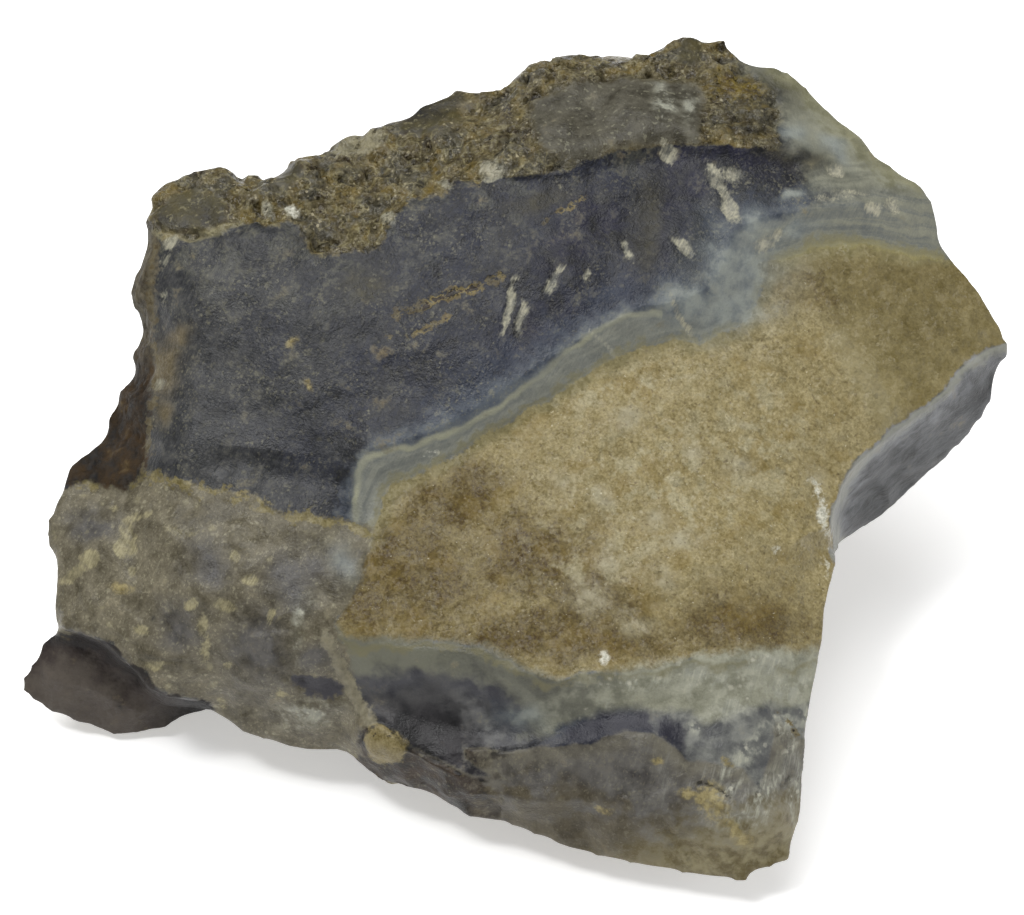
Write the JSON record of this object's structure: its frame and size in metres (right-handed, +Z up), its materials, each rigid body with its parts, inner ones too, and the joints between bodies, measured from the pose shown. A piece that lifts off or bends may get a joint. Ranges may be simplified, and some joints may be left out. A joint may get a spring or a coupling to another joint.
{
  "type": "blue lace agate stone",
  "caption": "Rough hand specimen of blue lace agate: a broken vein face with a rind crest, ledges and an undercut side, resting on a small flat spot.",
  "frame": {"origin": "centre of the bounding box in plan, at the level of the flat spot the stone rests on", "axes": "+X along the stone's longest extent, from its dark lower lobe to its sharp right corner; -Y towards the low front edge of the broken face; +Z up"},
  "size_m": [0.101, 0.0811, 0.0504],
  "materials": {
    "chalcedony": "rough broken chalcedony, dull to waxy, with a tan sugary quartz core and a brown weathered rind"
  },
  "bodies": {
    "root": {"agate": "chalcedony"}
  },
  "joints": []
}
